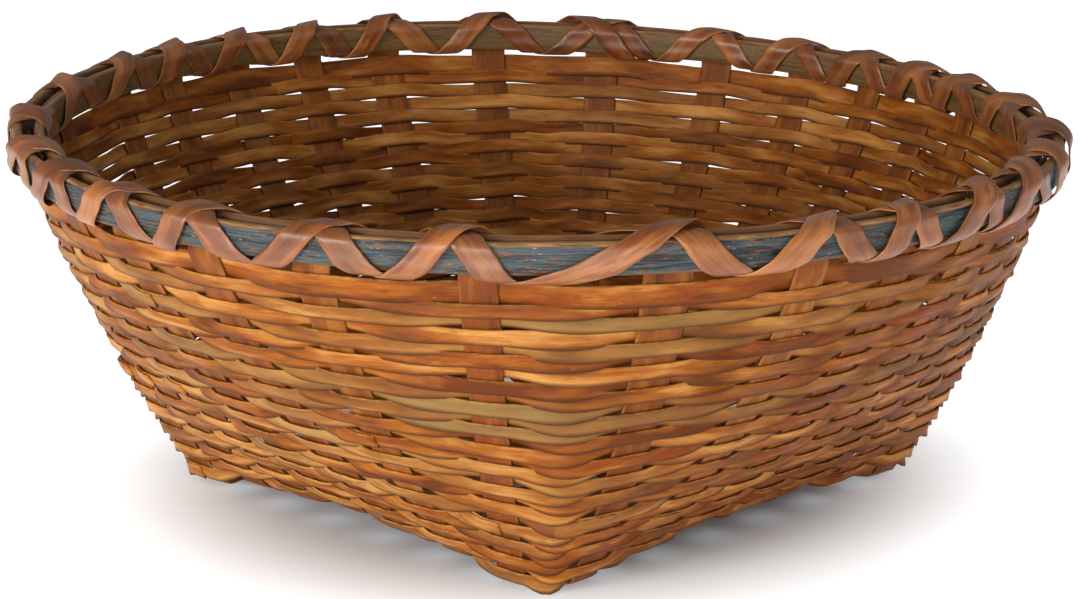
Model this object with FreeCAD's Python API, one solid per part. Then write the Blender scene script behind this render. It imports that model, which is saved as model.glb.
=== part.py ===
"""Splint basket with a square plaited base, a round mouth and a double-bound hoop rim.

Millimetres, +Z up. The origin is the middle of the mouth, on the plane that the basket stands on.
The sides of the base are parallel to X and Y. Seven splints cross the base each way, and each one is
turned up at both ends, which makes the 28 uprights. Every weaver row is one ring that passes in turn
outside and inside the uprights. The ends of the uprights stand between two hoops, and two flat
lashings, wound in opposite directions, bind the hoops through the slot below them.
"""
import FreeCAD, Part
import math
import os

Vector = FreeCAD.Vector

# Base
BASE_HALF = 118.0  # middle of the base to the foot of a wall
SPLINT_PITCH = 32.5  # between neighbouring base splints
SPLINTS_EACH_WAY = 7
BASE_SHIFT = Vector(2.0, 2.0, 0.0)  # the base stands a little off the middle of the mouth
BASE_ARCH = 6.5  # rise of the base between its four corners

# Splints
UPRIGHT_WIDTH = 16.0
UPRIGHT_THICKNESS = 1.2
WEAVER_WIDTH = 4.9
TOP_WEAVER_WIDTH = 8.0
WEAVER_THICKNESS = 1.0
SPLINT_CLEARANCE = 0.3  # between splints that cross

# Wall. A level is a share of the wall, from 0 at its foot to 1 at its top.
WALL_FOOT = 4.0  # height at which a turned-up splint leaves its bend
WALL_TOP = 150.0  # height at which the wall stops leaning out
WALL_BELLY = 0.45  # 0 is a straight wall, and more swells its lower half
UPRIGHT_END = 164.5  # height of the cut ends between the hoops
ROW_COUNT = 28
FIRST_ROW = 0.02
ROW_STEP = 0.0342
TOP_ROW = 0.967
ROW_PACKING = 0.075  # how much closer the lower rows sit

# Rim. Its sizes are given before it is tilted.
RIM_TOP = 166.5
RIM_TILT = 2.4  # degrees
DIP_TURN = -20.5  # degrees from +X to the side where the rim is lowest
HOOP_RADIUS = 229.0  # outside of the outer hoop
OUTER_HOOP_THICKNESS = 5.5
OUTER_HOOP_HEIGHT = 12.0
INNER_HOOP_THICKNESS = 5.0
INNER_HOOP_HEIGHT = 13.5
HOOP_GAP = 4.0
HOOP_EDGE = 2.0  # rounding of the hoops' outer edges
LASHING_WIDTH = 10.5
LASHING_THICKNESS = 0.8
LASHING_LIFTS = {"lashing_right": 1.6, "lashing_left": 0.5}  # space under each lashing

# Angle of each upright on the mouth, in degrees from the middle of its own side of the base.
# The sides face +X, +Y, -X and -Y, and each row runs anticlockwise.
UPRIGHT_ANGLES = (
    (-32.5, -17.5, -5.5, 5.5, 16.0, 26.0, 38.5),
    (-35.0, -21.5, -13.0, -3.0, 8.0, 20.5, 36.5),
    (-38.0, -23.5, -12.5, -1.5, 9.5, 19.5, 34.0),
    (-39.0, -23.0, -12.0, -1.0, 10.5, 23.0, 39.5),
)

# How finely the curves are drawn
WALL_STEPS = 24
HEAD_STEP = 4.0  # straight stretch at each end of an upright's head
BEND_STEPS = 4
LASHING_STEPS = 16  # for each turn
RING_STRETCH = 4  # cross-sections in each stretch of a ring's faces

SIDES = 4
MIDDLE = SPLINTS_EACH_WAY // 2
CROSSING_HALF = UPRIGHT_WIDTH / 2 + 1.0  # half of a flat stretch where two base splints cross
EDGE_REACH = UPRIGHT_WIDTH / 2 + 0.5  # a weaver lies flat this far each side of an upright's middle
WEAVE_OFFSET = (UPRIGHT_THICKNESS + WEAVER_THICKNESS) / 2 + SPLINT_CLEARANCE
GAP_RADIUS = HOOP_RADIUS - OUTER_HOOP_THICKNESS - HOOP_GAP / 2
INNER_HOOP_RADIUS = HOOP_RADIUS - OUTER_HOOP_THICKNESS - HOOP_GAP
RIM_THICKNESS = OUTER_HOOP_THICKNESS + HOOP_GAP + INNER_HOOP_THICKNESS
DOWN = Vector(0, 0, -1)
TILT_AXIS = FreeCAD.Rotation(Vector(0, 0, 1), DIP_TURN).multVec(Vector(0, 1, 0))
RIM_MIDDLE = Vector(0, 0, RIM_TOP - INNER_HOOP_HEIGHT / 2)
TILT = FreeCAD.Placement(Vector(), FreeCAD.Rotation(TILT_AXIS, RIM_TILT), RIM_MIDDLE)


def turned(x, y, degrees):
    """A level point or direction that was given facing +X, turned about +Z."""
    angle = math.radians(degrees)
    return Vector(x * math.cos(angle) - y * math.sin(angle), x * math.sin(angle) + y * math.cos(angle), 0)


def on_rim(radius, degrees, height):
    """A point of the rim, after its tilt."""
    point = turned(radius, 0, degrees)
    point.z = height
    return TILT.multVec(point)


def section(centre, across, normal, width, thickness):
    """The four corners of a flat splint's cross-section."""
    side = across * (width / 2)
    face = normal * (thickness / 2)
    return [centre + side + face, centre - side + face, centre - side - face, centre + side - face]


def closed_solid(faces):
    shell = Part.makeShell(faces)
    shell.sewShape()
    solid = Part.makeSolid(shell)
    if solid.Volume < 0:
        solid.reverse()
    return solid


def stretch(curve, start, end):
    """The edge along part of a curve."""
    part = curve.copy()
    part.segment(start, end)
    return part.toShape()


def curved_faces(sections, ring=False):
    """The four smooth sides of a splint that runs through the given cross-sections.

    A ring's sides are cut into stretches, because an edge that closes on itself rules badly.
    """
    stops = sections + sections[:1] if ring else sections
    distances = [0.0]
    for start, end in zip(stops, stops[1:]):
        distances.append(distances[-1] + (sum(end, Vector()) - sum(start, Vector())).Length)
    curves = []
    for corner in range(4):
        curve = Part.BSplineCurve()
        points = [stop[corner] for stop in sections]
        curve.interpolate(Points=points, Parameters=distances, PeriodicFlag=ring)
        curves.append(curve)
    cuts = distances[::RING_STRETCH] if ring else [distances[0], distances[-1]]
    faces = []
    for start, end in zip(cuts, cuts[1:]):
        edges = [stretch(curve, start, end) for curve in curves]
        faces += [Part.makeRuledSurface(edges[i], edges[(i + 1) % 4]) for i in range(4)]
    return faces


def flat_face(corners):
    return Part.Face(Part.makePolygon(corners + corners[:1]))


def creased_faces(sections):
    """The flat sides of a splint that is creased at each cross-section."""
    faces = []
    for start, end in zip(sections, sections[1:]):
        for i in range(4):
            following = (i + 1) % 4
            faces.append(flat_face([start[i], start[following], end[following], end[i]]))
    return faces


def arch_height(row, column):
    """How far the base is lifted where two splints cross, counted from the middle splints."""
    return BASE_ARCH * (1 - (row * column / MIDDLE**2) ** 2)


class Upright:
    """One turned-up end of a base splint."""

    def __init__(self, side, place):
        row = place - MIDDLE
        self.side_turn = 90.0 * side
        self.head_turn = self.side_turn + UPRIGHT_ANGLES[side][place]
        self.foot = turned(BASE_HALF, row * SPLINT_PITCH, self.side_turn) + BASE_SHIFT
        self.head = on_rim(GAP_RADIUS, self.head_turn, WALL_TOP)
        self.foot_height = WALL_FOOT + arch_height(row, MIDDLE)

    def centre(self, level):
        reach = level + WALL_BELLY * level * (1 - level)
        point = self.foot + (self.head - self.foot) * reach
        point.z = self.foot_height + (self.head.z - self.foot_height) * level
        return point

    def climb(self, level):
        """The change of the middle line per unit of level."""
        change = (self.head - self.foot) * (1 + WALL_BELLY * (1 - 2 * level))
        change.z = self.head.z - self.foot_height
        return change

    def across(self, level):
        """The width direction: along the side of the base at the foot, and along the rim at the top."""
        direction = turned(0, 1, self.side_turn) * (1 - level) + turned(0, 1, self.head_turn) * level
        return direction.normalize()

    def outward(self, level):
        return self.across(level).cross(self.climb(level)).normalize()

    def bend_sections(self, flat_end):
        """Cross-sections of the bend between the end of the flat base splint and the wall."""
        wall = self.centre(0)
        corner = wall - self.climb(0) * ((wall.z - flat_end.z) / self.climb(0).z)
        across = self.across(0)
        sections = []
        for step in range(BEND_STEPS):
            t = step / BEND_STEPS
            point = flat_end * (1 - t) ** 2 + corner * (2 * t * (1 - t)) + wall * t**2
            along = (corner - flat_end) * (1 - t) + (wall - corner) * t
            normal = across.cross(along).normalize() if step else DOWN
            sections.append(section(point, across, normal, UPRIGHT_WIDTH, UPRIGHT_THICKNESS))
        return sections

    def wall_sections(self):
        """Cross-sections from the top of the bend to the cut end between the hoops."""
        sections = []
        for step in range(WALL_STEPS + 1):
            level = step / WALL_STEPS
            directions = self.across(level), self.outward(level)
            sections.append(section(self.centre(level), *directions, UPRIGHT_WIDTH, UPRIGHT_THICKNESS))
        directions = [TILT.Rotation.multVec(turned(*facing, self.head_turn)) for facing in ((0, 1), (1, 0))]
        for height in (WALL_TOP + HEAD_STEP, UPRIGHT_END - HEAD_STEP, UPRIGHT_END):
            point = on_rim(GAP_RADIUS, self.head_turn, height)
            sections.append(section(point, *directions, UPRIGHT_WIDTH, UPRIGHT_THICKNESS))
        return sections


uprights = [Upright(side, place) for side in range(SIDES) for place in range(SPLINTS_EACH_WAY)]


def base_splint(direction, place):
    """One splint: across the base over and under the others, and up both walls.

    Direction 0 runs along X and direction 1 along Y.
    """
    turn = 90.0 * direction
    row = place - MIDDLE
    level_ends = []
    for column in range(-MIDDLE, MIDDLE + 1):
        passes_over = (row + column + direction) % 2 == 0
        lift = UPRIGHT_THICKNESS + SPLINT_CLEARANCE if passes_over else 0
        for edge in (-CROSSING_HALF, CROSSING_HALF):
            point = turned(column * SPLINT_PITCH + edge, row * SPLINT_PITCH, turn) + BASE_SHIFT
            point.z = UPRIGHT_THICKNESS / 2 + arch_height(row, column) + lift
            level_ends.append(point)
    across = turned(0, 1, turn)
    flats = [section(point, across, DOWN, UPRIGHT_WIDTH, UPRIGHT_THICKNESS) for point in level_ends]
    faces = creased_faces(flats)
    ends = (
        (uprights[direction * SPLINTS_EACH_WAY + place], level_ends[-1]),
        (uprights[(direction + 3) * SPLINTS_EACH_WAY - 1 - place], level_ends[0]),
    )
    for upright, flat_end in ends:
        sections = upright.bend_sections(flat_end) + upright.wall_sections()
        faces += curved_faces(sections) + [flat_face(sections[-1])]
    return closed_solid(faces)


def weaver_row(number):
    """One weaver ring, which passes outside every second upright and inside the others."""
    top = number == ROW_COUNT
    share = TOP_ROW if top else FIRST_ROW + ROW_STEP * (number - 1)
    level = share - ROW_PACKING * share * (1 - share)
    size = (TOP_WEAVER_WIDTH if top else WEAVER_WIDTH, WEAVER_THICKNESS)
    sections = []
    for index, upright in enumerate(uprights):
        following = uprights[(index + 1) % len(uprights)]
        offset = WEAVE_OFFSET if (index + number) % 2 == 0 else -WEAVE_OFFSET
        middle = upright.centre(level) + upright.outward(level) * offset
        across = upright.across(level)
        climb = upright.climb(level).normalize()
        for reach in (-EDGE_REACH, 0, EDGE_REACH):
            sections.append(section(middle + across * reach, climb, upright.outward(level), *size))
        sections.append(gap_section(upright, following, level, size))
    return closed_solid(curved_faces(sections, ring=True))


def gap_section(upright, following, level, size):
    """A weaver's cross-section halfway between two uprights, where it changes sides."""
    start = upright.centre(level) + upright.across(level) * EDGE_REACH
    end = following.centre(level) - following.across(level) * EDGE_REACH
    outward = (upright.outward(level) + following.outward(level)).normalize()
    climb = (upright.climb(level) + following.climb(level)).normalize()
    turn = upright.across(level).getAngle(following.across(level))
    swell = (end - start).Length / 2 * math.tan(turn / 4)
    return section((start + end) / 2 + outward * swell, climb, outward, *size)


def hoop(outside, thickness, height, rounded):
    """A hoop of flat section, with the edges of its outer or inner face rounded."""
    bottom = Vector(0, 0, RIM_TOP - height)
    ring = Part.makeCylinder(outside, height, bottom).cut(Part.makeCylinder(outside - thickness, height, bottom))
    circles = [edge for edge in ring.Edges if isinstance(edge.Curve, Part.Circle)]
    ring = ring.makeFillet(HOOP_EDGE, [edge for edge in circles if abs(edge.Curve.Radius - rounded) < HOOP_EDGE])
    ring.rotate(RIM_MIDDLE, TILT_AXIS, RIM_TILT)
    return ring


def rim_point(distance, angle, lift, bend_length):
    """A point wrapped on the pair of hoops.

    The distance runs round their cross-section from under its middle, first outward and then up.
    """
    flat_width = RIM_THICKNESS - 2 * HOOP_EDGE
    flat_height = INNER_HOOP_HEIGHT - 2 * HOOP_EDGE
    radius = HOOP_RADIUS - RIM_THICKNESS / 2
    height = RIM_TOP - INNER_HOOP_HEIGHT + HOOP_EDGE
    facing = -90.0
    for flat in (flat_width / 2, flat_height, flat_width, flat_height, flat_width / 2):
        run = min(distance, flat)
        radius -= run * math.sin(math.radians(facing))
        height += run * math.cos(math.radians(facing))
        distance -= run
        bend = min(distance, bend_length)
        facing += 90.0 * bend / bend_length
        distance -= bend
        if distance <= 0:
            break
    radius += (HOOP_EDGE + lift) * math.cos(math.radians(facing))
    height += (HOOP_EDGE + lift) * math.sin(math.radians(facing))
    return on_rim(radius, angle, height)


def head_angle(index):
    """The angle of an upright's head, counted on past a full turn of the rim."""
    turns, place = divmod(index, len(uprights))
    return uprights[place].head_turn + 360.0 * turns


def half_turn_angle(count):
    """Where a lashing passes the middle of the rim: in a gap below it, then above an upright."""
    index, above = divmod(count, 2)
    if above:
        return head_angle(index + 1)
    return (head_angle(index) + head_angle(index + 1)) / 2


def lashing(direction, lift):
    """A flat splint wound round both hoops once for each upright. Direction 1 climbs to the right."""
    bend_length = (HOOP_EDGE + lift + LASHING_THICKNESS / 2) * math.pi / 2
    half_length = RIM_THICKNESS + INNER_HOOP_HEIGHT - 4 * HOOP_EDGE + 2 * bend_length
    steps = LASHING_STEPS // 2
    sections = []
    for count in range(2 * len(uprights)):
        start = half_turn_angle(direction * count)
        sweep = half_turn_angle(direction * (count + 1)) - start
        slant = math.hypot(half_length, math.radians(sweep) * GAP_RADIUS)
        reach = math.degrees(LASHING_WIDTH / 2 * slant / half_length / GAP_RADIUS)
        for step in range(steps):
            t = step / steps
            distance = (count + t) * half_length % (2 * half_length)
            corners = []
            for side, rise in ((1, LASHING_THICKNESS), (-1, LASHING_THICKNESS), (-1, 0), (1, 0)):
                corners.append(rim_point(distance, start + t * sweep + side * reach, lift + rise, bend_length))
            sections.append(corners)
    return closed_solid(curved_faces(sections, ring=True))


def build():
    pieces = {}
    for direction, name in enumerate("xy"):
        for place in range(SPLINTS_EACH_WAY):
            pieces[f"upright_splint_{name}_{place + 1}"] = base_splint(direction, place)
    for number in range(1, ROW_COUNT + 1):
        pieces[f"weaver_row_{number:02d}"] = weaver_row(number)
    pieces["outer_hoop"] = hoop(HOOP_RADIUS, OUTER_HOOP_THICKNESS, OUTER_HOOP_HEIGHT, HOOP_RADIUS)
    pieces["inner_hoop"] = hoop(
        INNER_HOOP_RADIUS, INNER_HOOP_THICKNESS, INNER_HOOP_HEIGHT, INNER_HOOP_RADIUS - INNER_HOOP_THICKNESS
    )
    for direction, (name, lift) in zip((1, -1), LASHING_LIFTS.items()):
        pieces[name] = lashing(direction, lift)
    return pieces


os.makedirs("parts", exist_ok=True)
for node, solid in build().items():
    solid.exportStep(f"parts/{node}.step")
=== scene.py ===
"""Looks of the splint basket: every splint, hoop and lashing as its own worn wooden piece.

The shapes are worked out in millimetres with the same layout as the CAD part, then made in metres.
"""
import math

import bpy
import numpy as np
from mathutils import Matrix, Vector


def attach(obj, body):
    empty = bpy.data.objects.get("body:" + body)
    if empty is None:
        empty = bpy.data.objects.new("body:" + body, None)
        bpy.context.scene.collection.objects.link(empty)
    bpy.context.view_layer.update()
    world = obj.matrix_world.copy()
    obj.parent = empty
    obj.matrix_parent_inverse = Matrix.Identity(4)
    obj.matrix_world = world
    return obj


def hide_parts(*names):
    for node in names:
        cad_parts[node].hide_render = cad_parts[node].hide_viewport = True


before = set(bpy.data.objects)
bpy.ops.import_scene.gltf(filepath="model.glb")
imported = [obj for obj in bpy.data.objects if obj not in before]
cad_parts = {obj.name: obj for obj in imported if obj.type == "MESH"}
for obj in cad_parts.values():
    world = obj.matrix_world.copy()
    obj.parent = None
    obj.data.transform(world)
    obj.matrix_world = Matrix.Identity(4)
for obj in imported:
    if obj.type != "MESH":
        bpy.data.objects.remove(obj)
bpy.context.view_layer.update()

MM = 0.001

# Layout shared with the CAD part, in millimetres and degrees
BASE_HALF = 118.0
SPLINT_PITCH = 32.5
SPLINTS_EACH_WAY = 7
MIDDLE = SPLINTS_EACH_WAY // 2
BASE_SHIFT = np.array([2.0, 2.0, 0.0])
BASE_ARCH = 6.5
UPRIGHT_WIDTH = 16.0
UPRIGHT_THICKNESS = 1.2
WEAVER_THICKNESS = 1.0
SPLINT_CLEARANCE = 0.3
WALL_FOOT = 4.0
WALL_TOP = 150.0
WALL_BELLY = 0.45
UPRIGHT_END = 164.5
ROW_COUNT = 28
FIRST_ROW = 0.02
ROW_STEP = 0.0342
TOP_ROW = 0.967
ROW_PACKING = 0.075
RIM_TOP = 166.5
RIM_TILT = 2.4
DIP_TURN = -20.5
HOOP_RADIUS = 229.0
OUTER_HOOP_THICKNESS = 5.5
OUTER_HOOP_HEIGHT = 12.0
INNER_HOOP_THICKNESS = 5.0
INNER_HOOP_HEIGHT = 13.5
HOOP_GAP = 4.0
GAP_RADIUS = HOOP_RADIUS - OUTER_HOOP_THICKNESS - HOOP_GAP / 2
INNER_HOOP_RADIUS = HOOP_RADIUS - OUTER_HOOP_THICKNESS - HOOP_GAP
RIM_THICKNESS = OUTER_HOOP_THICKNESS + HOOP_GAP + INNER_HOOP_THICKNESS
CROSSING_HALF = UPRIGHT_WIDTH / 2 + 1.0
UPRIGHT_ANGLES = (
    (-32.5, -17.5, -5.5, 5.5, 16.0, 26.0, 38.5),
    (-35.0, -21.5, -13.0, -3.0, 8.0, 20.5, 36.5),
    (-38.0, -23.5, -12.5, -1.5, 9.5, 19.5, 34.0),
    (-39.0, -23.0, -12.0, -1.0, 10.5, 23.0, 39.5),
)
UPRIGHT_COUNT = 4 * SPLINTS_EACH_WAY

# Looks of the weave. Tables keyed by a number are for that weaver row, from 1, or that upright, from 0.
UPRIGHT_TOP_WIDTHS = {0: 19.5, 25: 15.5, 26: 16.0, 27: 14.8}
ROW_WIDTHS = (6.2, 7.5)
TOP_WEAVER_WIDTH = 10.2
ROW_COVER = (1.03, 1.34)  # least and greatest width of a row, as a share of the distance between rows
ROW_CLEARANCE = 0.15  # between a weaver and the upright that it crosses
EDGE_MARGIN = 0.4  # a weaver lies flat this far past each edge of an upright
ROW_WANDER = 1.15  # how far a row strays up and down
NEAREST_ROWS = 4.3
FARTHEST_ROWS = 7.0
UPPER_ROW_LIFTS = {25: 0.6, 26: 1.2, 27: 1.7}
WALL_LENGTH = 168.0  # from the foot of a wall to its top, along the slope
BEND_STEPS, WALL_STEPS, HEAD_STEPS = 7, 70, 6  # cross-sections in each part of an upright
BASE_STEPS = 100  # cross-sections of a splint across the base
WEAVER_STATION = 2.9  # distance between two cross-sections of a weaver
SETTLING_ROUNDS = 60
ROW_OLIVE = {
    5: 0.3, 8: 0.4, 12: 0.3, 13: 0.4, 15: 0.6, 17: 0.8, 18: 0.7, 19: 0.8, 20: 0.4,
    24: 0.8, 25: 0.5, 26: 0.9, 27: 0.2,
}
OLIVE_TURN = -66.0  # the side with the most grey-green rows, in degrees from +X
RED_TURN = 5.0  # the side whose rows are darkest and reddest

# Looks of the rim
RIM_WARP = 1.6
WARP_PHASE = 0.42
RIM_SAG = 1.8
SAG_TURN = 45.0
HOOP_LAP = 26.0  # degrees that a hoop's thinned ends overlap
HOOP_STEPS = 460
HOOP_SECTION = 28
LASHING_WIDTH = 11.0
LASHING_THICKNESS = 0.8
LASHING_STATION = 1.5  # distance between two cross-sections of a lashing
LOOP_LEAN = math.radians(12.0)  # how far a loop's face turns towards the front, at the sides
GAP_SHIFTS = {2: -3.0, 3: -4.4, 24: 1.2, 25: 0.8, 26: -0.5, 27: -5.4}  # degrees, for loops below the rim
TOP_SHIFTS = {0: 0.3, 1: 0.7, 2: -1.2, 13: -1.0, 26: 1.7, 27: -2.0}  # degrees, for loops above the rim
LOOSE_TOPS = {  # space under a loop above the rim
    0: 3.4, 3: 2.6, 4: 3.0, 5: 3.2, 6: 3.0, 13: 1.2, 14: 3.0, 15: 2.6,
    19: 0.8, 20: 0.9, 21: 1.2, 22: 1.4, 23: 1.2, 27: 2.4,
}
SPLICE_HEAD = 13  # upright beside which a new length of lashing starts


def unit(v):
    return v / np.linalg.norm(v, axis=-1, keepdims=True)


def dot(a, b):
    return (a * b).sum(axis=-1, keepdims=True)


def turned(x, y, degrees):
    """Level points given facing +X, turned about +Z."""
    angle = np.radians(degrees)
    c, s = np.cos(angle), np.sin(angle)
    return np.stack([x * c - y * s, x * s + y * c, np.zeros_like(x * c)], axis=-1)


TILT_AXIS = turned(0.0, 1.0, DIP_TURN)
FRONT = np.array([1.0, -1.0, 0.0]) / math.sqrt(2)
RIM_MIDDLE = np.array([0.0, 0.0, RIM_TOP - INNER_HOOP_HEIGHT / 2])


def lean(v):
    """A direction of the level rim, after the rim's tilt."""
    c, s = math.cos(math.radians(RIM_TILT)), math.sin(math.radians(RIM_TILT))
    return v * c + np.cross(TILT_AXIS, v) * s + dot(v, TILT_AXIS) * TILT_AXIS * (1 - c)


def rim_warp(turn):
    """How far the rim stands above its plane: two waves round the rim, and a sag at one side."""
    sag = RIM_SAG * (0.5 + np.cos(turn - math.radians(SAG_TURN)))
    return RIM_WARP * np.cos(2 * turn + WARP_PHASE) - sag


def on_rim(radius, degrees, height):
    """Points of the rim, after its tilt."""
    point = turned(radius, 0.0 * np.asarray(degrees, float), degrees)
    point[..., 2] = height + rim_warp(np.radians(degrees))
    return RIM_MIDDLE + lean(point - RIM_MIDDLE)


def smooth(values, places, at):
    """A smooth curve through values given at places, read at new places."""
    slopes = np.gradient(values, places, axis=0)
    i = np.clip(np.searchsorted(places, at, side="right") - 1, 0, len(places) - 2)
    step = places[i + 1] - places[i]
    t = (at - places[i]) / step
    if values.ndim > 1:
        t, step = t[:, None], step[:, None]
    return (
        values[i] * (1 + 2 * t) * (1 - t) ** 2
        + slopes[i] * step * t * (1 - t) ** 2
        + values[i + 1] * t**2 * (3 - 2 * t)
        + slopes[i + 1] * step * t**2 * (t - 1)
    )


def lengths_along(points):
    return np.concatenate([[0.0], np.cumsum(np.linalg.norm(np.diff(points, axis=0), axis=1))])


def wander(rng, at, wavelength, ring=None):
    """Smooth random values near -1 to 1 along a length. With a ring length they meet up after one turn."""
    if ring:
        count = max(3, int(round(ring / wavelength)))
        knots = rng.uniform(-1, 1, count)
        place = (np.asarray(at) / ring * count) % count
        i = place.astype(int) % count
        t = place - np.floor(place)
        following = knots[(i + 1) % count]
    else:
        count = int(np.max(at) / wavelength) + 3
        knots = rng.uniform(-1, 1, count)
        place = np.asarray(at) / wavelength
        i = place.astype(int)
        t = place - i
        following = knots[i + 1]
    t = t * t * (3 - 2 * t)
    return knots[i] * (1 - t) + following * t


class Upright:
    """One turned-up end of a base splint."""

    def __init__(self, side, place, index, rng):
        row = place - MIDDLE
        self.side_turn = 90.0 * side
        self.head_turn = self.side_turn + UPRIGHT_ANGLES[side][place]
        self.foot = turned(BASE_HALF, row * SPLINT_PITCH, self.side_turn) + BASE_SHIFT
        self.head = on_rim(GAP_RADIUS, self.head_turn, WALL_TOP)
        self.foot_height = WALL_FOOT + BASE_ARCH * (1 - (row / MIDDLE) ** 2)
        foot_share, top_share, _ = rng.random(3)
        self.foot_width = UPRIGHT_WIDTH * (0.93 + 0.1 * foot_share)
        self.top_width = UPRIGHT_TOP_WIDTHS.get(index, UPRIGHT_WIDTH * (0.9 + 0.2 * top_share))

    def centre(self, level):
        level = np.asarray(level, float)[..., None]
        reach = level + WALL_BELLY * level * (1 - level)
        point = self.foot + (self.head - self.foot) * reach
        point[..., 2] = (self.foot_height + (self.head[2] - self.foot_height) * level)[..., 0]
        return point

    def climb(self, level):
        level = np.asarray(level, float)[..., None]
        change = (self.head - self.foot) * (1 + WALL_BELLY * (1 - 2 * level))
        change[..., 2] = self.head[2] - self.foot_height
        return change

    def across(self, level):
        level = np.asarray(level, float)[..., None]
        start = turned(0.0, 1.0, self.side_turn)
        end = turned(0.0, 1.0, self.head_turn)
        return unit(start * (1 - level) + end * level)

    def outward(self, level):
        return unit(np.cross(self.across(level), self.climb(level)))

    def width(self, level):
        return self.foot_width + (self.top_width - self.foot_width) * level


layout_rng = np.random.default_rng(3)
uprights = [
    Upright(index // SPLINTS_EACH_WAY, index % SPLINTS_EACH_WAY, index, layout_rng)
    for index in range(UPRIGHT_COUNT)
]

# ---------------------------------------------------------------- meshes

# Half of a splint's rounded cross-section, from one edge to the other: share of the half width and thickness
FLAT_PROFILE = ((-0.9, 0.86), (-0.66, 1.0), (0.0, 1.0), (0.66, 1.0), (0.9, 0.86))


def profile_points(half):
    top = list(half)
    return np.array([(-1.0, 0.0)] + top + [(1.0, 0.0)] + [(u, -v) for u, v in reversed(top)])


def swept_mesh(name, rings, attributes):
    """A closed mesh skinned over rings of points. Each attribute has one value for each point."""
    count, around = rings.shape[:2]
    stations = np.arange(count - 1)
    following = stations + 1
    points = np.arange(around)
    nexts = (points + 1) % around
    quads = np.stack(
        [
            stations[:, None] * around + points,
            stations[:, None] * around + nexts,
            following[:, None] * around + nexts,
            following[:, None] * around + points,
        ],
        axis=-1,
    ).reshape(-1, 4)
    faces = quads.tolist()
    faces.append(list(range(around))[::-1])
    faces.append(list(range((count - 1) * around, count * around)))
    mesh = bpy.data.meshes.new(name)
    mesh.from_pydata((rings.reshape(-1, 3) * MM).tolist(), [], faces)
    mesh.validate()
    for key, values in attributes.items():
        layer = mesh.attributes.new(key, "FLOAT", "POINT")
        layer.data.foreach_set("value", np.ascontiguousarray(values, np.float32).ravel())
    mesh.polygons.foreach_set("use_smooth", [True] * len(mesh.polygons))
    mesh.update()
    return mesh


def splint_mesh(name, centre, wide, face, width, thickness, extra, cup=0.0):
    """A thin strip of wood along a line. wide points along its width, and face out of its upper face."""
    section = profile_points(FLAT_PROFILE)
    u, v = section[:, 0], section[:, 1]
    half_width = (width / 2)[:, None]
    half_thickness = (thickness / 2)[:, None]
    sideways = (u * half_width)[..., None] * wide[:, None, :]
    bowed = cup * (0.4 - u**2) * half_width
    raised = (v * half_thickness + bowed)[..., None] * face[:, None, :]
    rings = centre[:, None, :] + sideways + raised
    distance = lengths_along(centre)
    ones = np.ones((1, len(u)))
    down = np.ones((len(centre), 1))
    attributes = {
        "along": distance[:, None] * ones,
        "across": u * half_width,
        "edge": np.abs(u) * down,
        "rise": u * down,
    }
    for key, values in extra.items():
        attributes[key] = np.asarray(values)[:, None] * ones if np.ndim(values) == 1 else values
    flipped = np.sum(np.cross(wide[0], face[0]) * (centre[1] - centre[0])) > 0
    if flipped:
        rings = rings[:, ::-1]
        attributes = {key: values[:, ::-1] for key, values in attributes.items()}
    return swept_mesh(name, rings, attributes)


def add_piece(mesh, material, slot, *nodes):
    """Puts a piece in the scene, in place of its CAD nodes."""
    mesh.materials.append(material)
    piece = bpy.data.objects.new(mesh.name, mesh)
    bpy.context.scene.collection.objects.link(piece)
    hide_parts(*nodes)
    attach(piece, "root")
    return piece


# ---------------------------------------------------------------- weave


def row_levels():
    """Level of every row at every upright. Rows bunch up and spread, and never cross."""
    rng = np.random.default_rng(11)
    share = FIRST_ROW + ROW_STEP * np.arange(ROW_COUNT, dtype=float)
    share[-1] = TOP_ROW
    level = share - ROW_PACKING * share * (1 - share)
    for number, lift in UPPER_ROW_LIFTS.items():
        level[number - 1] += lift / WALL_LENGTH
    drift = rng.normal(0, 1, (ROW_COUNT, UPRIGHT_COUNT))
    drift = (drift + np.roll(drift, 1, axis=1) + 0.5 * np.roll(drift, 2, axis=1)) / 1.5
    drift[[0, 1, -1]] *= 0.2
    levels = level[:, None] + drift * ROW_WANDER / WALL_LENGTH
    for _ in range(SETTLING_ROUNDS):
        gaps = np.diff(levels, axis=0)
        push = np.clip(NEAREST_ROWS / WALL_LENGTH - gaps, 0, None) / 2
        push -= np.clip(gaps - FARTHEST_ROWS / WALL_LENGTH, 0, None) / 2
        levels[1:-1] += push[:-1]
        levels[1:-1] -= push[1:]
    return levels


levels_of_rows = row_levels()
pitches_of_rows = np.gradient(levels_of_rows, axis=0)


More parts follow.
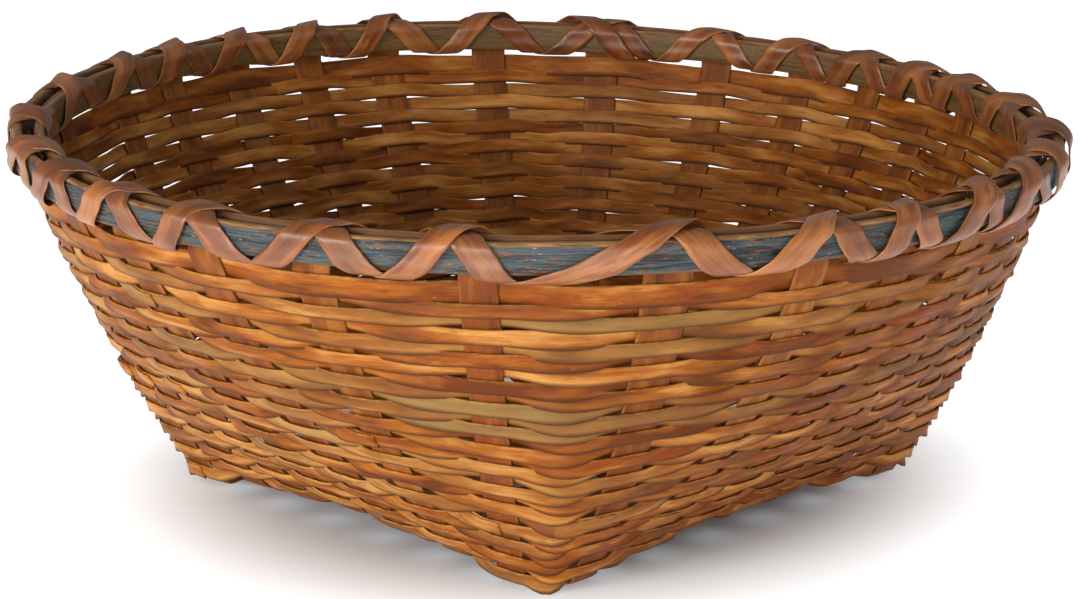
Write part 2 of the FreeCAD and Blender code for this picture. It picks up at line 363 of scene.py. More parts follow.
def weaver_path(number, rng):
    """Middle, climb, outward direction, tilt, width and side of one weaver, in columns.

    Each upright gives three places that lie flat on it and one in the middle of the gap after it, where the
    strip tilts so that neighbouring rows can overlap. The side is 1 outside an upright and -1 inside it.
    """
    top = number == ROW_COUNT
    levels = levels_of_rows[number - 1]
    pitches = pitches_of_rows[number - 1]
    row_width = TOP_WEAVER_WIDTH if top else rng.uniform(*ROW_WIDTHS)
    start = int(rng.integers(UPRIGHT_COUNT))
    if (start + number) % 2 == 0:
        start += 1
    rows = []
    for count in range(UPRIGHT_COUNT + 2):
        index = (start + count) % UPRIGHT_COUNT
        after = (index + 1) % UPRIGHT_COUNT
        upright, following = uprights[index], uprights[after]
        outside = 1.0 if (index + number) % 2 == 0 else -1.0
        rise = float(np.linalg.norm(upright.climb(levels[index])))
        level = levels[index] - 0.25 * outside / rise
        next_level = levels[after] + 0.25 * outside / rise
        pitch = pitches[index] * rise
        width = row_width if top else float(np.clip(row_width, ROW_COVER[0] * pitch, ROW_COVER[1] * pitch))
        depth = (UPRIGHT_THICKNESS + WEAVER_THICKNESS) / 2 + ROW_CLEARANCE
        middle = upright.centre(level)
        across, outward, climb = upright.across(level), upright.outward(level), unit(upright.climb(level))
        reach = upright.width(level) / 2 + EDGE_MARGIN
        for share, swell in ((-1, 0.0), (0, 0.15 + 0.2 * rng.uniform()), (1, 0.0)):
            point = middle + across * reach * share + outward * outside * (depth + swell)
            rows.append((point, climb, outward, 0.0, width, outside))
        edge = middle + across * reach
        next_reach = following.width(next_level) / 2 + EDGE_MARGIN
        next_edge = following.centre(next_level) - following.across(next_level) * next_reach
        gap_out = unit(outward + following.outward(next_level))
        gap_climb = unit(climb + unit(following.climb(next_level)))
        turn = math.acos(min(1.0, float(across @ following.across(next_level))))
        swell = float(np.linalg.norm(next_edge - edge)) / 2 * math.tan(turn / 4)
        gap_pitch = (pitches[index] + pitches[after]) / 2 * rise
        tilt = 0.0 if top else math.acos(min(1.0, gap_pitch / width))
        rows.append(((edge + next_edge) / 2 + gap_out * swell, gap_climb, gap_out, tilt, width, 0.0))
    return (np.array(column) for column in zip(*rows[:-2]))


def weaver(number):
    """One weaver: a strip round the basket, outside and inside the uprights in turn, whose ends overlap."""
    rng = np.random.default_rng(100 + number)
    centre, climb, outward, tilt, width, outside = weaver_path(number, rng)
    places = lengths_along(centre)
    lap = places[4 * UPRIGHT_COUNT]
    at = np.linspace(0, places[-1], int(places[-1] / WEAVER_STATION))
    line = smooth(centre, places, at)
    sides = smooth(outside, places, at)
    lapping = np.clip((at - lap + 30) / 24, 0, 1)
    out = unit(smooth(outward, places, at))
    lift = np.sign(sides) * np.minimum(np.abs(sides) * 3, 1) * lapping * WEAVER_THICKNESS * 1.05
    line = line + out * lift[:, None]
    tangent = unit(np.gradient(line, axis=0))
    wide = smooth(climb, places, at)
    wide = unit(wide - dot(wide, tangent) * tangent)
    face = unit(np.cross(tangent, wide))
    face = face * np.sign(dot(face, out))
    turn = smooth(tilt, places, at)[:, None]
    wide, face = wide * np.cos(turn) - face * np.sin(turn), face * np.cos(turn) + wide * np.sin(turn)
    width = smooth(width, places, at) * (1 + 0.045 * wander(rng, at, 60, lap) + 0.02 * wander(rng, at, 10))
    thickness = WEAVER_THICKNESS * (1 + 0.12 * wander(rng, at, 40, lap))
    azimuth = np.degrees(np.arctan2(line[:, 1], line[:, 0]))
    from_green = azimuth - OLIVE_TURN
    greenest = 0.3 + 0.7 * np.clip(np.cos(np.radians(from_green * 1.3)), 0, 1) * (np.abs(from_green) < 80)
    # Rows are made darker and redder towards the RED_TURN side.
    darker_redder_side = np.clip(np.cos(np.radians(azimuth - RED_TURN)), 0, 1)
    tone = 0.4 * rng.uniform(-1, 1) + 0.45 * wander(rng, at, 70, lap)
    stain = 0.25 * wander(rng, at, 100, lap)
    green = ROW_OLIVE.get(number, 0.06) + 0.5 * wander(rng, at, 130, lap) - 0.15
    # Painted shade: the tone falls with the row number, so rows are darker towards the rim.
    extra = {
        "tone": tone - 0.4 * darker_redder_side + 0.45 - 0.7 * number / ROW_COUNT,
        "stain": 0.3 * darker_redder_side - 0.15 + stain,
        "olive": np.clip(green, 0, 1) * greenest,
        "seed": np.full(len(at), number * 1.37),
    }
    name = f"weaver_{number:02d}"
    return splint_mesh(name, line, wide, face, width, thickness, extra, cup=0.05)


def half_splint(upright, direction, row, sign, rng):
    """Line, width direction and width of one turned-up end, from its bend to its cut end."""
    turn = 90.0 * direction
    reach = sign * (MIDDLE * SPLINT_PITCH + CROSSING_HALF)
    flat_end = turned(reach, row * SPLINT_PITCH, turn) + BASE_SHIFT
    flat_end[2] = base_height(direction, row, reach)
    wall, climb = upright.centre(0.0), upright.climb(0.0)
    corner = wall - climb * ((wall[2] - flat_end[2]) / climb[2])
    t = np.linspace(0, 1, BEND_STEPS + 2)[1:-1, None]
    bend = flat_end * (1 - t) ** 2 + corner * 2 * t * (1 - t) + wall * t**2
    levels = np.linspace(0, 1, WALL_STEPS)
    line = upright.centre(levels)
    line += upright.outward(levels) * (0.25 * wander(rng, levels * 170, 30))[:, None]
    end = UPRIGHT_END + rng.uniform(-2.5, 1.0)
    heights = np.linspace(WALL_TOP + 3, end, HEAD_STEPS)
    heads = on_rim(GAP_RADIUS, np.full(HEAD_STEPS, upright.head_turn), heights)
    heads_across = np.repeat(lean(turned(0.0, 1.0, upright.head_turn))[None], HEAD_STEPS, axis=0)
    line = np.concatenate([bend, line, heads])
    foot_across = np.repeat(upright.across(0.0)[None], BEND_STEPS, axis=0)
    across = np.concatenate([foot_across, upright.across(levels), heads_across])
    foot_width = np.full(BEND_STEPS, upright.foot_width)
    head_width = np.full(HEAD_STEPS, upright.top_width)
    width = np.concatenate([foot_width, upright.width(levels), head_width])
    return line, across, width


def base_height(direction, row, distance):
    """Height of a base splint's middle plane at a distance from the middle of the base."""
    column = distance / SPLINT_PITCH
    near = np.floor(column)
    slope = SPLINT_PITCH - 2 * CROSSING_HALF
    t = np.clip((column - near) * SPLINT_PITCH - CROSSING_HALF, 0, slope) / slope
    t = t * t * (3 - 2 * t)
    over = UPRIGHT_THICKNESS + SPLINT_CLEARANCE
    before, after = (np.where((row + near + step + direction) % 2 == 0, over, 0.0) for step in (0, 1))
    arch = BASE_ARCH * (1 - (row * column / MIDDLE**2) ** 2)
    return UPRIGHT_THICKNESS / 2 + arch + before * (1 - t) + after * t


def upright_splint(direction, place):
    """One splint: across the base, and up both walls."""
    rng = np.random.default_rng(500 + 10 * direction + place)
    row = place - MIDDLE
    reach = MIDDLE * SPLINT_PITCH + CROSSING_HALF
    x = np.linspace(-reach, reach, BASE_STEPS)
    turn = 90.0 * direction
    flat = turned(x, row * SPLINT_PITCH + 0 * x, turn) + BASE_SHIFT
    flat[:, 2] = base_height(direction, row, x)
    near = uprights[direction * SPLINTS_EACH_WAY + place]
    far = uprights[(direction + 3) * SPLINTS_EACH_WAY - 1 - place]
    near_line, near_across, near_width = half_splint(near, direction, row, 1, rng)
    far_line, far_across, far_width = half_splint(far, direction, row, -1, rng)
    flat_across = np.repeat(turned(0.0, 1.0, turn)[None], len(x), axis=0)
    flat_width = near.foot_width + (far.foot_width - near.foot_width) * (1 - (x + reach) / (2 * reach))
    line = np.concatenate([far_line[::-1], flat, near_line])
    wide = np.concatenate([-far_across[::-1], flat_across, near_across])
    width = np.concatenate([far_width[::-1], flat_width, near_width])
    tangent = unit(np.gradient(line, axis=0))
    wide = unit(wide - dot(wide, tangent) * tangent)
    face = unit(np.cross(wide, tangent))
    at = lengths_along(line)
    width = width * (1 + 0.03 * wander(rng, at, 60) + 0.012 * wander(rng, at, 8))
    thickness = UPRIGHT_THICKNESS * (1 + 0.1 * wander(rng, at, 50))
    extra = {
        "tone": 0.3 * rng.uniform(-1, 1) + 0.35 * wander(rng, at, 90),
        "stain": 0.3 * wander(rng, at, 100),
        "olive": np.clip(0.3 * wander(rng, at, 110) - 0.1, 0, 1),
        "seed": np.full(len(at), 50 + place * 2.7 + direction * 31),
    }
    name = f"upright_{'xy'[direction]}_{place + 1}"
    return splint_mesh(name, line, wide, face, width, thickness, extra, cup=0.02)


# ---------------------------------------------------------------- rim


def hoop(name, outside, thickness, height, rounded_out, seed, lap_start):
    """A hoop bent from one flat strip, with thinned ends that overlap. One long edge face is worn round."""
    rng = np.random.default_rng(seed)
    turn = np.linspace(0, 360 + HOOP_LAP, HOOP_STEPS)
    grow = np.clip(turn / HOOP_LAP, 0, 1) * 0.86 + 0.14
    fade = np.clip((360 + HOOP_LAP - turn) / HOOP_LAP, 0, 1) * 0.86 + 0.14
    thin = thickness * np.minimum(grow, fade)
    middle = outside - thickness / 2 + np.where(turn < 180, -(thickness - thin) / 2, (thickness - thin) / 2)
    lap = 2 * math.pi * outside
    at = np.radians(turn) * outside
    middle = middle + 0.35 * wander(rng, at, 60, lap)
    top = RIM_TOP + 0.35 * wander(rng, at, 75, lap) + 0.15 * wander(rng, at, 14)
    bottom = RIM_TOP - height + 0.35 * wander(rng, at, 90, lap) + 0.12 * wander(rng, at, 12)
    angle = np.linspace(0, 2 * math.pi, HOOP_SECTION, endpoint=False)
    power = 0.45
    across = np.sign(np.cos(angle)) * np.abs(np.cos(angle)) ** power
    up = np.sign(np.sin(angle)) * np.abs(np.sin(angle)) ** power
    worn = np.where(up > 0, 1 - 0.25 * np.maximum(up, 0) ** 4 * (across * (1 if rounded_out else -1) > 0), 1)
    radius = middle[:, None] + across * worn * (thin / 2)[:, None]
    z = (top + bottom)[:, None] / 2 + up * ((top - bottom) / 2)[:, None]
    rings = on_rim(radius, (turn + lap_start)[:, None] + 0 * radius, z)
    ones = np.ones((1, HOOP_SECTION))
    attributes = {
        "along": at[:, None] * ones,
        "across": z - RIM_TOP + height + across * 2,
        "edge": (z - bottom[:, None]) / (top - bottom)[:, None],
        "outer": across * (1 if rounded_out else -1) * np.ones((len(at), 1)),
        "tone": (0.3 * wander(rng, at, 120, lap))[:, None] * ones,
        "olive": (0.5 + 0.5 * wander(rng, at, 90, lap))[:, None] * ones,
        "seed": np.full((len(at), HOOP_SECTION), seed * 1.0),
    }
    return swept_mesh(name, rings[:, ::-1], {key: values[:, ::-1] for key, values in attributes.items()})


def head_angle(index):
    turns, place = divmod(index, UPRIGHT_COUNT)
    return uprights[place].head_turn + 360.0 * turns


def half_turn_angle(count):
    """Where a lashing passes the middle of the rim: in a gap below it, then above an upright."""
    index, above = divmod(count, 2)
    if above:
        return head_angle(index + 1) + TOP_SHIFTS.get((index + 1) % UPRIGHT_COUNT, 0.0)
    return (head_angle(index) + head_angle(index + 1)) / 2 + GAP_SHIFTS.get(index % UPRIGHT_COUNT, 0.0)


def loop_outline(lift, loose, spread, droop):
    """The outer and the inner half of one loop, as distances out from the middle of the rim and heights.

    lift is the space under the loop, and loose what is added over the top. spread and droop bend it a little.
    """
    half = RIM_THICKNESS / 2
    low = RIM_TOP - INNER_HOOP_HEIGHT
    outer = [
        (0.0, low - lift - 0.2),
        (0.66 * half, low - lift + 0.7 - droop),
        (half + lift + 0.1, low + 2.4 - 0.4 * droop),
        (half + lift + spread * 0.5, low + 7.8),
        (half + lift + spread, RIM_TOP - 1.4),
        (half * 0.58 + spread, RIM_TOP + lift + loose * 0.75),
    ]
    inner = [
        (0.0, RIM_TOP + lift + loose),
        (-half * 0.60 - spread, RIM_TOP + lift + loose * 0.7),
        (-half - lift - spread, RIM_TOP - 1.6),
        (-half - lift - spread * 0.4, low + 7.5),
        (-half - lift - 0.1, low + 2.2),
        (-0.68 * half, low - lift - 0.3 * droop),
    ]
    return outer, inner


def lashing(name, direction, lift, seed, first=0, halves=2 * UPRIGHT_COUNT, shift=0.0, point=0.0):
    """A flat splint wound round both hoops once for each upright, looser over the top.

    It runs for a number of half turns, from the first. A point is the length over which its start narrows.

    Its line is drawn first in the plane of the hoops' cross-section, and the turn round the rim then
    grows evenly with the length, so that the splint keeps one slant between two crossings.
    """
    rng = np.random.default_rng(seed)
    profile, bounds, angles = [], [], []
    for count in range(first, first + halves + 1):
        index, above = divmod(direction * (count + 1 - count % 2), 2)
        key = (index + 1) % UPRIGHT_COUNT
        loose = LOOSE_TOPS.get(key, 0.3 + 1.3 * rng.uniform()) * (1.0 if lift > 1 else 0.5)
        spread = rng.uniform(0.1, 0.5) + 0.08 * loose
        droop = rng.uniform(0.4, 1.4)
        outer, inner = loop_outline(lift, loose, spread, droop)
        bounds.append(len(profile))
        angles.append(half_turn_angle(direction * count) + shift)
        profile += inner if count % 2 else outer
    slow = np.array([0.0 if count % 2 else 0.08 for count in range(first, first + halves)])
    middles = (np.array(bounds[:-1]) + np.array(bounds[1:])) // 2
    halfway = np.array(angles[:-1]) * (0.5 - slow) + np.array(angles[1:]) * (0.5 + slow)
    order = np.argsort(np.concatenate([bounds, middles]))
    bounds = np.concatenate([bounds, middles])[order]
    angles = np.concatenate([angles, halfway])[order]
    profile = np.array(profile[: bounds[-1] + 1])
    rough_places = lengths_along(profile)
    at = np.linspace(0.7 * point, rough_places[-1], int(rough_places[-1] / LASHING_STATION))
    section = smooth(profile, rough_places, at)
    angle = smooth(angles, rough_places[bounds], at)
    line = on_rim(HOOP_RADIUS - RIM_THICKNESS / 2 + section[:, 0], angle, section[:, 1])
    at = lengths_along(line)
    tangent = unit(np.gradient(line, axis=0))
    along_rim = lean(turned(0.0, 1.0, angle))
    slope = np.sqrt(np.maximum(1 - dot(tangent, along_rim) ** 2, 0.06))[:, 0]
    face = unit(np.cross(along_rim, tangent))
    sideways = dot(along_rim, FRONT)
    over_top = np.clip((section[:, 1] - RIM_TOP + 9) / 10, 0, 1)[:, None]
    over_top = over_top * over_top * (3 - 2 * over_top)
    upward = np.sign(face[section[:, 1] > RIM_TOP, 2].sum())
    turn = -LOOP_LEAN * (1.0 if lift > 1 else 0.3) * sideways * over_top * upward
    wide = along_rim * np.cos(turn) + face * np.sin(turn)
    face = face * np.cos(turn) - along_rim * np.sin(turn)
    width = LASHING_WIDTH * (1 + 0.1 * wander(rng, at, 120) + 0.02 * wander(rng, at, 14)) / slope
    if point:
        width *= np.clip(at / point, 0.04, 1)
    thickness = LASHING_THICKNESS * (1 + 0.1 * wander(rng, at, 60))
    extra = {
        "tone": 0.2 * rng.uniform(-1, 1) + 0.6 * wander(rng, at, 45),
        "stain": 0.4 * wander(rng, at, 60),
        "olive": np.clip(0.35 * wander(rng, at, 120) - 0.12, 0, 1),
        "seed": np.full(len(at), seed * 3.1),
    }
    return splint_mesh(name, line, wide, face, width, thickness, extra, cup=0.02)


# ---------------------------------------------------------------- materials


def linear(red, green, blue):
    """A colour given in display values from 0 to 255."""
    shares = [c / 255 for c in (red, green, blue)]
    return tuple(((c + 0.055) / 1.055) ** 2.4 if c > 0.04 else c / 12.92 for c in shares) + (1.0,)


class Nodes:
    """Short names for making shader nodes."""

    def __init__(self, material):
        self.tree = material.node_tree
        self.tree.nodes.clear()

    def add(self, kind, **settings):
        node = self.tree.nodes.new(kind)
        for key, value in settings.items():
            setattr(node, key, value)
        return node

    def link(self, source, target):
        self.tree.links.new(source, target)

    def value(self, name):
        return self.add("ShaderNodeAttribute", attribute_name=name).outputs["Fac"]

    def math(self, operation, first, second=0.0, third=None, clamp=False):
        node = self.add("ShaderNodeMath", operation=operation, use_clamp=clamp)
        for i, item in enumerate((first, second, third)):
            if item is None:
                continue
            if isinstance(item, (int, float)):
                node.inputs[i].default_value = item
            else:
                self.link(item, node.inputs[i])
        return node.outputs[0]

    def streaks(self, along, across, seed, along_scale, across_scale, detail=3.0, offset=0.0, rough=0.55):
        """Noise drawn out along the grain. The scales are in features for each millimetre."""
        combine = self.add("ShaderNodeCombineXYZ")
        self.link(self.math("MULTIPLY", along, along_scale), combine.inputs[0])
        self.link(self.math("MULTIPLY", across, across_scale), combine.inputs[1])
        self.link(self.math("MULTIPLY_ADD", seed, 7.3, offset), combine.inputs[2])
        noise = self.add("ShaderNodeTexNoise")
        noise.inputs["Scale"].default_value = 1.0
        noise.inputs["Detail"].default_value = detail
        noise.inputs["Roughness"].default_value = rough
        self.link(combine.outputs[0], noise.inputs["Vector"])
        return noise.outputs["Fac"]

    def span(self, value, low, high, to_low=0.0, to_high=1.0):
        node = self.add("ShaderNodeMapRange", clamp=True, interpolation_type="SMOOTHSTEP")
        self.link(value, node.inputs["Value"])
        for name, number in (("From Min", low), ("From Max", high), ("To Min", to_low), ("To Max", to_high)):
            node.inputs[name].default_value = number
        return node.outputs["Result"]

    def mix(self, factor, first, second, blend="MIX"):
        node = self.add("ShaderNodeMix", data_type="RGBA", blend_type=blend)
        if isinstance(factor, (int, float)):
            node.inputs["Factor"].default_value = factor
        else:
            self.link(factor, node.inputs["Factor"])
        for name, item in (("A", first), ("B", second)):
            socket = [s for s in node.inputs if s.name == name and s.type == "RGBA"][0]
            if isinstance(item, tuple):
                socket.default_value = item
            else:
                self.link(item, socket)
        return [s for s in node.outputs if s.type == "RGBA"][0]

    def ramp(self, value, stops):
        node = self.add("ShaderNodeValToRGB")
        elements = node.color_ramp.elements
        while len(elements) < len(stops):
            elements.new(0.5)
        for element, (place, colour) in zip(elements, stops):
            element.position = place
            element.color = colour
        self.link(value, node.inputs["Fac"])
        return node.outputs["Color"]

    def finish(self, colour, roughness, height, depth, specular=0.5, coat=0.0):
        shader = self.add("ShaderNodeBsdfPrincipled")
        shader.inputs["Specular IOR Level"].default_value = specular
        shader.inputs["Coat Weight"].default_value = coat
        shader.inputs["Coat Roughness"].default_value = 0.35
        self.link(colour, shader.inputs["Base Color"])
        self.link(roughness, shader.inputs["Roughness"])
        bump = self.add("ShaderNodeBump")
        bump.inputs["Strength"].default_value = 0.7
        bump.inputs["Distance"].default_value = depth * MM
        self.link(height, bump.inputs["Height"])
        self.link(bump.outputs[0], shader.inputs["Normal"])
        output = self.add("ShaderNodeOutputMaterial")
        self.link(shader.outputs[0], output.inputs["Surface"])


def new_material(name):
    material = bpy.data.materials.new(name)
    material.use_nodes = True
    return material, Nodes(material)


def splint_material(
    name, dark, middle, light, stain, olive_colour, grainy, painted_shade_low, rough_low, specular, coat
):
    """Bare aged splint: long grain streaks, blotches, grey-green tint, pale scuffs and worn edges, and
    painted shade along the lower edge of a strip.
    """
    material, n = new_material(name)
    along, across, seed = n.value("along"), n.value("across"), n.value("seed")
    tone, olive, edge, stained = n.value("tone"), n.value("olive"), n.value("edge"), n.value("stain")
    blotch = n.streaks(along, across, seed, 0.028, 0.14, 3.0)
    grain = n.streaks(along, across, seed, 0.035, 1.7, 4.0, 11.0, 0.65)
    fibre = n.streaks(along, across, seed, 0.12, 5.5, 2.0, 23.0)
    scuff = n.streaks(along, across, seed, 0.22, 0.8, 3.0, 37.0, 0.6)
    spot = n.streaks(along, across, seed, 0.07, 0.25, 4.0, 51.0, 0.7)
    level = n.math("MULTIPLY_ADD", tone, 0.21, blotch)
    level = n.math("ADD", level, n.span(grain, 0.3, 0.7, -0.08 * grainy, 0.08 * grainy))
    colour = n.ramp(level, ((0.26, dark), (0.48, middle), (0.72, light)))
    spotted = n.math("MULTIPLY_ADD", stained, 0.42, spot)
    colour = n.mix(n.math("MULTIPLY", n.span(spotted, 0.52, 0.7), 0.75), colour, stain)
    olive_mask = n.math("MULTIPLY", olive, n.span(blotch, 0.25, 0.6, 0.55, 1.0))
    colour = n.mix(n.math("MULTIPLY", olive_mask, 0.85, clamp=True), colour, olive_colour)
    streak = n.span(fibre, 0.3, 0.7, 1 - 0.16 * grainy, 1 + 0.08 * grainy)
    shade = n.add("ShaderNodeCombineColor")
    for i in range(3):
        n.link(streak, shade.inputs[i])
    colour = n.mix(0.75, colour, shade.outputs[0], "MULTIPLY")
    worn = n.math("MULTIPLY", n.span(edge, 0.82, 1.0), n.span(scuff, 0.38, 0.66, 0.05, 0.55))
    colour = n.mix(worn, colour, n.mix(0.35, light, linear(206, 160, 100)))
    colour = n.mix(n.math("MULTIPLY", n.span(scuff, 0.7, 0.78), 0.55), colour, linear(212, 172, 118))
    # Painted shade: each strip is darkened towards its lower edge, by the amount given for the material.
    under = n.math("MULTIPLY", n.span(n.value("rise"), -0.35, -0.95), painted_shade_low)
    colour = n.mix(under, colour, linear(74, 35, 8))
    dirt = n.span(n.streaks(along, across, seed, 0.1, 1.1, 3.0, 71.0), 0.64, 0.8)
    colour = n.mix(n.math("MULTIPLY", dirt, 0.6), colour, linear(70, 40, 24))
    roughness = n.span(grain, 0.25, 0.75, rough_low, rough_low + 0.2)
    height = n.math("MULTIPLY_ADD", fibre, 0.35, grain)
    n.finish(colour, roughness, height, 0.16, specular, coat)
    return material


def paint_material(name, paints, bare, cream, wear_top):
    """Old paint on a wooden hoop, streaked along the grain and worn to bare wood at the edges. The faces
    toward the gap between the hoops are bare wood, darkened further with painted shade.
    """
    material, n = new_material(name)
    along, across, seed = n.value("along"), n.value("across"), n.value("seed")
    tone, edge, outer = n.value("tone"), n.value("edge"), n.value("outer")
    streak = n.streaks(along, across, seed, 0.05, 1.2, 4.0, 3.0, 0.62)
    patch = n.streaks(along, across, seed, 0.025, 0.22, 3.0, 17.0)
    grain = n.streaks(along, across, seed, 0.09, 3.4, 3.0, 29.0, 0.6)
    chip = n.streaks(along, across, seed, 0.12, 0.9, 4.0, 41.0, 0.65)
    level = n.math("ADD", n.math("MULTIPLY_ADD", tone, 0.12, patch), n.span(streak, 0.3, 0.7, -0.3, 0.3))
    colour = n.ramp(level, tuple(zip((0.2, 0.38, 0.52, 0.66, 0.8), paints)))
    colour = n.mix(n.math("MULTIPLY", n.span(grain, 0.58, 0.75), 0.5), colour, bare)
    colour = n.mix(n.math("MULTIPLY", n.span(chip, 0.56, 0.62), 0.85), colour, bare)
    fleck = n.streaks(along, across, seed, 0.35, 1.6, 3.0, 61.0, 0.6)
    colour = n.mix(n.math("MULTIPLY", n.span(fleck, 0.64, 0.72), 0.7), colour, cream)
    colour = n.mix(n.math("MULTIPLY", n.span(fleck, 0.34, 0.26), 0.7), colour, linear(40, 30, 20))
    top = n.math("MULTIPLY_ADD", n.math("SUBTRACT", streak, 0.5), 0.22, edge)
    rubbed = n.mix(n.span(grain, 0.3, 0.7), cream, bare)
    colour = n.mix(n.math("MULTIPLY", n.span(top, wear_top, wear_top + 0.08), 0.95), colour, rubbed)
    low = n.math("MULTIPLY_ADD", n.math("SUBTRACT", streak, 0.5), 0.3, edge)
    colour = n.mix(n.math("MULTIPLY", n.span(low, 0.12, 0.02), 0.8), colour, bare)
    # Faces that look into the gap between the hoops: bare wood, darkened further as painted shade.
    inside = n.span(outer, -0.35, -0.7)
    colour = n.mix(n.math("MULTIPLY", inside, 0.75), colour, n.mix(0.5, bare, linear(70, 45, 28)))
    roughness = n.span(streak, 0.25, 0.75, 0.42, 0.66)
    height = n.math("MULTIPLY_ADD", chip, -0.4, n.math("MULTIPLY_ADD", grain, 0.5, streak))
    n.finish(colour, roughness, height, 0.3, 0.4, 0.0)
    return material


# Only the weavers get painted shade along their lower edges. The uprights and lashings get none.
honey = splint_material(
    "weaver_wood",
    linear(94, 43, 4), linear(148, 81, 18), linear(200, 140, 70),
    linear(126, 50, 3), linear(134, 108, 60), 0.5, 0.9, 0.46, 0.16, 0.0,
)
brown = splint_material(
    "upright_wood",
    linear(82, 39, 6), linear(120, 63, 16), linear(152, 92, 34),
    linear(118, 50, 8), linear(126, 100, 54), 0.35, 0.0, 0.46, 0.2, 0.0,
)
lash_wood = splint_material(
    "lashing_wood",
    linear(80, 36, 10), linear(122, 65, 23), linear(166, 102, 50),
    linear(114, 50, 12), linear(114, 88, 60), 0.4, 0.0, 0.27, 0.5, 0.2,
)
blue_paint = paint_material(
    "outer_hoop_paint",
    (linear(20, 20, 16), linear(30, 36, 38), linear(50, 68, 80), linear(72, 82, 78), linear(50, 52, 32)),
    linear(112, 66, 28), linear(186, 136, 78), 0.89,
)
olive_paint = paint_material(
    "inner_hoop_paint",
    (linear(76, 52, 20), linear(88, 64, 28), linear(98, 74, 34), linear(104, 84, 46), linear(104, 66, 28)),
    linear(122, 72, 30), linear(170, 124, 72), 0.9,
)

# ---------------------------------------------------------------- pieces

for direction, axis in enumerate("xy"):
    for place in range(SPLINTS_EACH_WAY):
        node = f"upright_splint_{axis}_{place + 1}"
        add_piece(upright_splint(direction, place), brown, "upright_splint", node)
for number in range(1, ROW_COUNT + 1):
    add_piece(weaver(number), honey, "weaver_splint", f"weaver_row_{number:02d}")
add_piece(
    hoop("hoop_outer", HOOP_RADIUS, OUTER_HOOP_THICKNESS, OUTER_HOOP_HEIGHT, True, 21, 60.0),
    blue_paint, "outer_hoop_paint", "outer_hoop",
)
add_piece(
    hoop("hoop_inner", INNER_HOOP_RADIUS, INNER_HOOP_THICKNESS, INNER_HOOP_HEIGHT, False, 22, 200.0),
    olive_paint, "inner_hoop_paint", "inner_hoop",
)
add_piece(lashing("lashing_under", -1, 0.75, 31), lash_wood, "lashing_splint", "lashing_left")
add_piece(lashing("lashing_over", 1, 1.75, 32), lash_wood, "lashing_splint", "lashing_right")
first_half = 2 * (UPRIGHT_COUNT - SPLICE_HEAD)
splice = lashing("lashing_splice", -1, 2.6, 33, first=first_half, halves=2, shift=3.0, point=14.0)
add_piece(splice, lash_wood, "lashing_splint")

# ---------------------------------------------------------------- floor, light and camera

FLOOR_REACH = 9.0
FLOOR_DROP = 0.0002
floor_mesh = bpy.data.meshes.new("floor")
corners = [(x * FLOOR_REACH, y * FLOOR_REACH, 0) for x, y in ((-1, -1), (1, -1), (1, 1), (-1, 1))]
floor_mesh.from_pydata(corners, [], [(0, 1, 2, 3)])
floor = bpy.data.objects.new("floor", floor_mesh)
floor.location.z = -FLOOR_DROP
bpy.context.scene.collection.objects.link(floor)
floor_material, n = new_material("glowing_floor")
shader = n.add("ShaderNodeBsdfPrincipled")
shader.inputs["Base Color"].default_value = (0.78, 0.83, 0.87, 1)
shader.inputs["Emission Color"].default_value = (1, 1, 1, 1)
# The floor glows, as painted light. The glow fades to nothing within 0.11 m of the middle, which paints a
# soft shadow under and round the basket.
glow_fade_distance = n.add("ShaderNodeVectorMath", operation="LENGTH")
n.link(n.add("ShaderNodeNewGeometry").outputs["Position"], glow_fade_distance.inputs[0])
n.link(n.span(glow_fade_distance.outputs["Value"], 0.11, 0.23, 0.0, 0.85), shader.inputs["Emission Strength"])
shader.inputs["Roughness"].default_value = 0.9
shader.inputs["Specular IOR Level"].default_value = 0.1
n.link(shader.outputs[0], n.add("ShaderNodeOutputMaterial").inputs["Surface"])
floor_mesh.materials.append(floor_material)

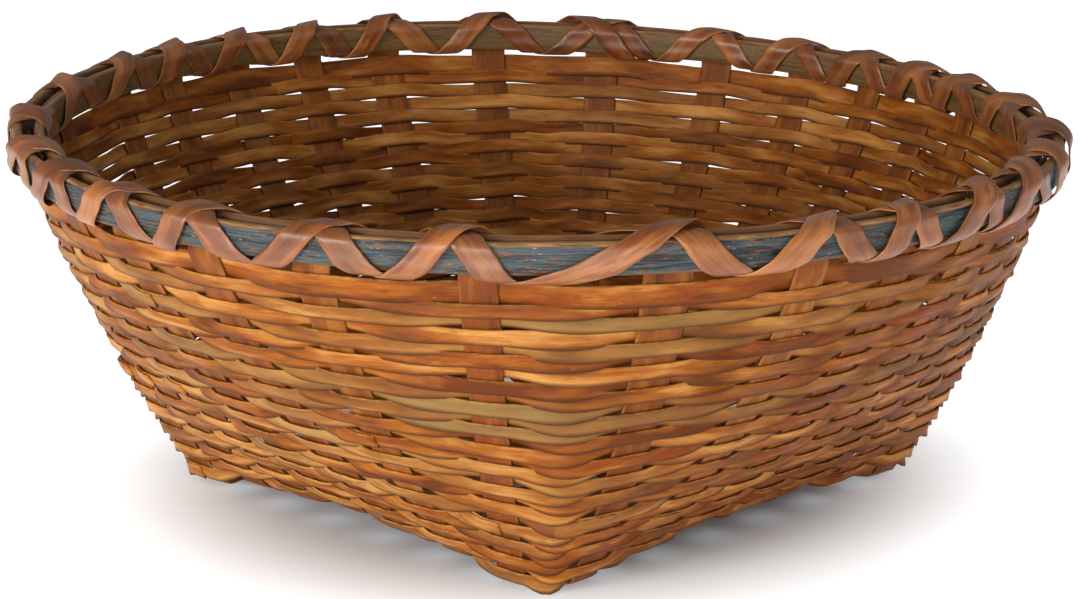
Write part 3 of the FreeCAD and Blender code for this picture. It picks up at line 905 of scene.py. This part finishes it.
# The camera stands off the +X, -Y corner. Distances are in metres and angles in radians.
CAMERA_TURN = math.radians(45.2467)
CAMERA_DISTANCE = 1.129
CAMERA_HEIGHT = 0.3608
CAMERA_PITCH = 0.2435
CAMERA_ROLL = -0.0088
forward = Vector((
    -math.sin(CAMERA_TURN) * math.cos(CAMERA_PITCH),
    math.cos(CAMERA_TURN) * math.cos(CAMERA_PITCH),
    -math.sin(CAMERA_PITCH),
))
level_right = Vector((math.cos(CAMERA_TURN), math.sin(CAMERA_TURN), 0))
level_up = level_right.cross(forward)
right = level_right * math.cos(CAMERA_ROLL) + level_up * math.sin(CAMERA_ROLL)
up = right.cross(forward)
camera_data = bpy.data.cameras.new("camera")
camera_data.sensor_width = 36.0
camera_data.lens = 86.17
camera = bpy.data.objects.new("camera", camera_data)
bpy.context.scene.collection.objects.link(camera)
camera.matrix_world = Matrix(
    (
        (right.x, up.x, -forward.x, math.sin(CAMERA_TURN) * CAMERA_DISTANCE),
        (right.y, up.y, -forward.y, -math.cos(CAMERA_TURN) * CAMERA_DISTANCE),
        (right.z, up.z, -forward.z, CAMERA_HEIGHT),
        (0, 0, 0, 1),
    )
)
bpy.context.scene.camera = camera


def area_light(name, place, size, power, colour):
    """A square soft light. The place is to the right, towards the camera and up, in metres."""
    toward = Vector((math.sin(CAMERA_TURN), -math.cos(CAMERA_TURN), 0))
    data = bpy.data.lights.new(name, "AREA")
    data.shape = "SQUARE"
    data.size = size
    data.energy = power
    data.color = colour
    lamp = bpy.data.objects.new(name, data)
    bpy.context.scene.collection.objects.link(lamp)
    lamp.location = level_right * place[0] + toward * place[1] + Vector((0, 0, place[2]))
    lamp.rotation_mode = "QUATERNION"
    lamp.rotation_quaternion = (Vector((0, 0, 0.08)) - lamp.location).to_track_quat("-Z", "Y")


area_light("key", (-1.5, 1.6, 0.6), 0.8, 33, (1.0, 0.98, 0.95))
area_light("fill", (-0.1, 1.9, 0.28), 0.5, 14, (1.0, 0.98, 0.96))
area_light("side", (1.5, 0.5, 1.4), 1.2, 3.5, (1.0, 0.98, 0.96))
world = bpy.data.worlds.new("studio")
world.use_nodes = True
world.node_tree.nodes["Background"].inputs["Color"].default_value = (1, 1, 1, 1)
world.node_tree.nodes["Background"].inputs["Strength"].default_value = 0.29
bpy.context.scene.world = world
bpy.context.scene.view_settings.view_transform = "Standard"
